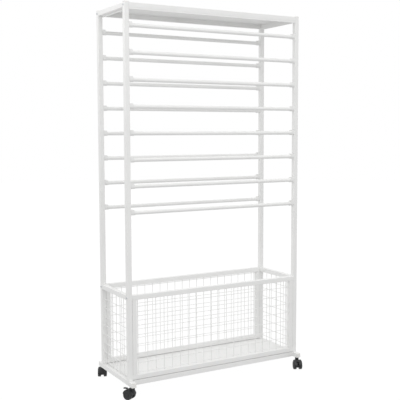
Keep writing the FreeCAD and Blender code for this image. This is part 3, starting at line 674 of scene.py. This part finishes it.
def wheel_pattern():
    """One wheel with its axle along X, its outer face towards +X."""
    outer = WEB_GAP + WHEEL_WIDTH
    dish = outer - DISH_DEPTH
    tread = [(WEB_GAP, 0), (WEB_GAP, WHEEL_RADIUS), (outer, WHEEL_RADIUS), (outer, DISH_OUTER)]
    hub = [(dish, DISH_OUTER - DISH_DEPTH), (dish, DISH_INNER), (outer, HUB_RADIUS), (outer, 0)]
    shape = turned(tread + hub, steps=WHEEL_STEPS)
    round_edges(shape, ring(shape, outer, WHEEL_RADIUS), SHOULDER, segments=6)
    small = ring(shape, WEB_GAP, WHEEL_RADIUS)
    small += ring(shape, outer, DISH_OUTER)
    small += ring(shape, outer, HUB_RADIUS)
    round_edges(shape, small, WHEEL_EASE, segments=3)
    return shape


wheel = wheel_pattern()
for end, side in CORNERS:
    corner = "%s_%s" % (end, side)
    axle = JOINTS["wheel_roll_" + corner]
    turn = Vector(axle["axis"]).to_track_quat("X", "Z").to_matrix().to_4x4()
    at = Matrix.Translation(axle["pos_m"]) @ turn
    shape = bmesh.new()
    add_copy(shape, wheel, at)
    add_copy(shape, wheel, at @ Matrix.Rotation(math.pi, 4, "Z"))
    node = "caster_wheels_" + corner
    finish_piece(node + "_turned", shape, node)
    paint_node("caster_axle_" + corner)

# %% [markdown]
# Each front caster has a foot brake: a small rocker that stands up through the hood, with a pedal at
# its top. The pedal is ribbed so that a shoe doesn't slip. The rocker is an eased copy of its node, and
# the ribs are three small bars laid across the pedal, square to the axis that the joint gives.

# %% Brake levers
LEVER_EASE = 0.4 * MM
PEDAL_TOP = 15.0 * MM  # above the pivot
RIB_PLACES = (8.0 * MM, 10.7 * MM, 13.4 * MM)  # from the pivot, along the pedal
RIB_LENGTH = 9.6 * MM
RIB_WIDTH = 1.0 * MM
RIB_HEIGHT = 0.6 * MM
RIB_EASE = 0.18 * MM


def brake_lever(side):
    shape = eased_copy("brake_lever_" + side, LEVER_EASE)
    pivot = JOINTS["brake_press_" + side]
    across = Vector(pivot["axis"])
    up = Vector((0, 0, 1))
    along = across.cross(up)
    half_rib = Vector((RIB_LENGTH, RIB_WIDTH, RIB_HEIGHT)) / 2
    for reach in RIB_PLACES:
        rib = box_between(-half_rib, half_rib)
        round_edges(rib, rib.edges[:], RIB_EASE, segments=2)
        middle = Vector(pivot["pos_m"]) + along * reach + up * PEDAL_TOP
        turn = Matrix((across, along, up)).transposed().to_4x4()
        add_copy(shape, rib, Matrix.Translation(middle) @ turn)
    return shape


for side in SIDES:
    node = "brake_lever_" + side
    finish_piece(node + "_ribbed", brake_lever(side), node)

# %% [markdown]
# ## Studio
# The photograph is a product shot on pure white. A round floor and a dome behind it give that white
# to the camera only, so that they neither light the rack nor shade it. The light on the rack comes from
# a soft sky that is brighter above and behind, a wide lamp overhead, one in front and a weak one beside
# the left end of the top, where the photograph is brightest. No lamp stands close above the shelf, so
# its top keeps a tone of its own when the rack is seen from above.

# %% Floor and backdrop
FLOOR_RADIUS = 14.0


def studio_white(name, paint, glow):
    material, tree = start_material(name)
    shader = add_node(tree, "ShaderNodeBsdfPrincipled", {
        "Base Color": linear(paint), "Roughness": 1.0, "Specular IOR Level": 0.0,
        "Emission Color": linear("#FFFFFF"), "Emission Strength": glow})
    add_node(tree, "ShaderNodeOutputMaterial", {"Surface": shader.outputs["BSDF"]})
    return material


def stage_piece(name, shape, material):
    mesh = bpy.data.meshes.new(name)
    shape.to_mesh(mesh)
    shape.free()
    mesh.materials.append(material)
    piece = bpy.data.objects.new(name, mesh)
    bpy.context.scene.collection.objects.link(piece)
    piece.visible_diffuse = False
    piece.visible_glossy = False
    piece.visible_shadow = False


ground = bmesh.new()
bmesh.ops.create_circle(ground, cap_ends=True, segments=96, radius=FLOOR_RADIUS)
stage_piece("studio_floor", ground, studio_white("white_floor_paint", paint="#4A4A4A", glow=0.96))
dome = bmesh.new()
bmesh.ops.create_uvsphere(dome, u_segments=48, v_segments=24, radius=FLOOR_RADIUS)
bmesh.ops.reverse_faces(dome, faces=dome.faces)
stage_piece("studio_backdrop", dome, studio_white("white_backdrop_paint", paint="#000000", glow=1.0))
print("stage made")

# %% Soft sky
SKY_MEAN = 0.771
SKY_SLOPE = (0.0, 0.171, 0.208)  # how much the sky gains towards the right, the rear and the top
sky = bpy.data.worlds.new("studio_sky")
sky.use_nodes = True
tree = sky.node_tree
tree.nodes.clear()
direction = add_node(tree, "ShaderNodeTexCoord", {}).outputs["Generated"]
slope = add_node(tree, "ShaderNodeVectorMath", {0: direction, 1: SKY_SLOPE}, operation="DOT_PRODUCT")
strength = add_node(tree, "ShaderNodeMath", {0: slope.outputs["Value"], 1: SKY_MEAN}, operation="ADD")
air = add_node(tree, "ShaderNodeBackground", {
    "Color": linear("#FFFFFF"), "Strength": strength.outputs["Value"]})
add_node(tree, "ShaderNodeOutputWorld", {"Surface": air.outputs["Background"]})
bpy.context.scene.world = sky
print("sky set")


# %% Lamps
def wide_lamp(name, at, aim, size, power):
    lamp = bpy.data.lights.new(name, "AREA")
    lamp.shape = "SQUARE"
    lamp.size = size
    lamp.energy = power
    fitting = bpy.data.objects.new(name, lamp)
    fitting.location = at
    fitting.rotation_euler = (Vector(aim) - Vector(at)).to_track_quat("-Z", "Y").to_euler()
    fitting.visible_camera = False
    bpy.context.scene.collection.objects.link(fitting)
    print(name, "-", power, "W")


wide_lamp("lamp_above", at=(-0.3, -1.6, 4.0), aim=(0, 0, 0.9), size=2.5, power=14.7)
wide_lamp("lamp_front", at=(-0.8, -3.4, 2.4), aim=(0, 0, 1.2), size=2.0, power=23.7)
wide_lamp("lamp_top_left", at=(-1.0, -0.1, 1.59), aim=(-0.4, 0, 1.59), size=0.4, power=0.75)
bpy.context.scene.view_settings.view_transform = "Standard"

# %% [markdown]
# ## Camera
# The photograph was taken from a little left of the rack with a long lens, held a fifth of a degree off
# level. The place, the heading, the tilt and the lens come from a fit of the rack's corners to the
# picture, so that the render can be laid over it.

# %% The photograph's camera
CAMERA_AT = (-1.662, -2.899, 1.083)
HEADING = math.radians(29.77)
LOOKING_DOWN = math.radians(5.07)
TILT = math.radians(-0.19)
LENS_MM = 67.89
SENSOR_MM = 36.0

lens = bpy.data.cameras.new("photo_camera")
lens.lens = LENS_MM
lens.sensor_width = SENSOR_MM
camera = bpy.data.objects.new("photo_camera", lens)
camera.location = CAMERA_AT
turned_right = Matrix.Rotation(-HEADING, 4, "Z")
raised = Matrix.Rotation(math.pi / 2 - LOOKING_DOWN, 4, "X")
camera.rotation_euler = (turned_right @ raised @ Matrix.Rotation(TILT, 4, "Z")).to_euler()
bpy.context.scene.collection.objects.link(camera)
bpy.context.scene.camera = camera
print("camera at", CAMERA_AT, "with a lens of", LENS_MM, "mm")

# %% Bring the scene up to date
bpy.context.view_layer.update()
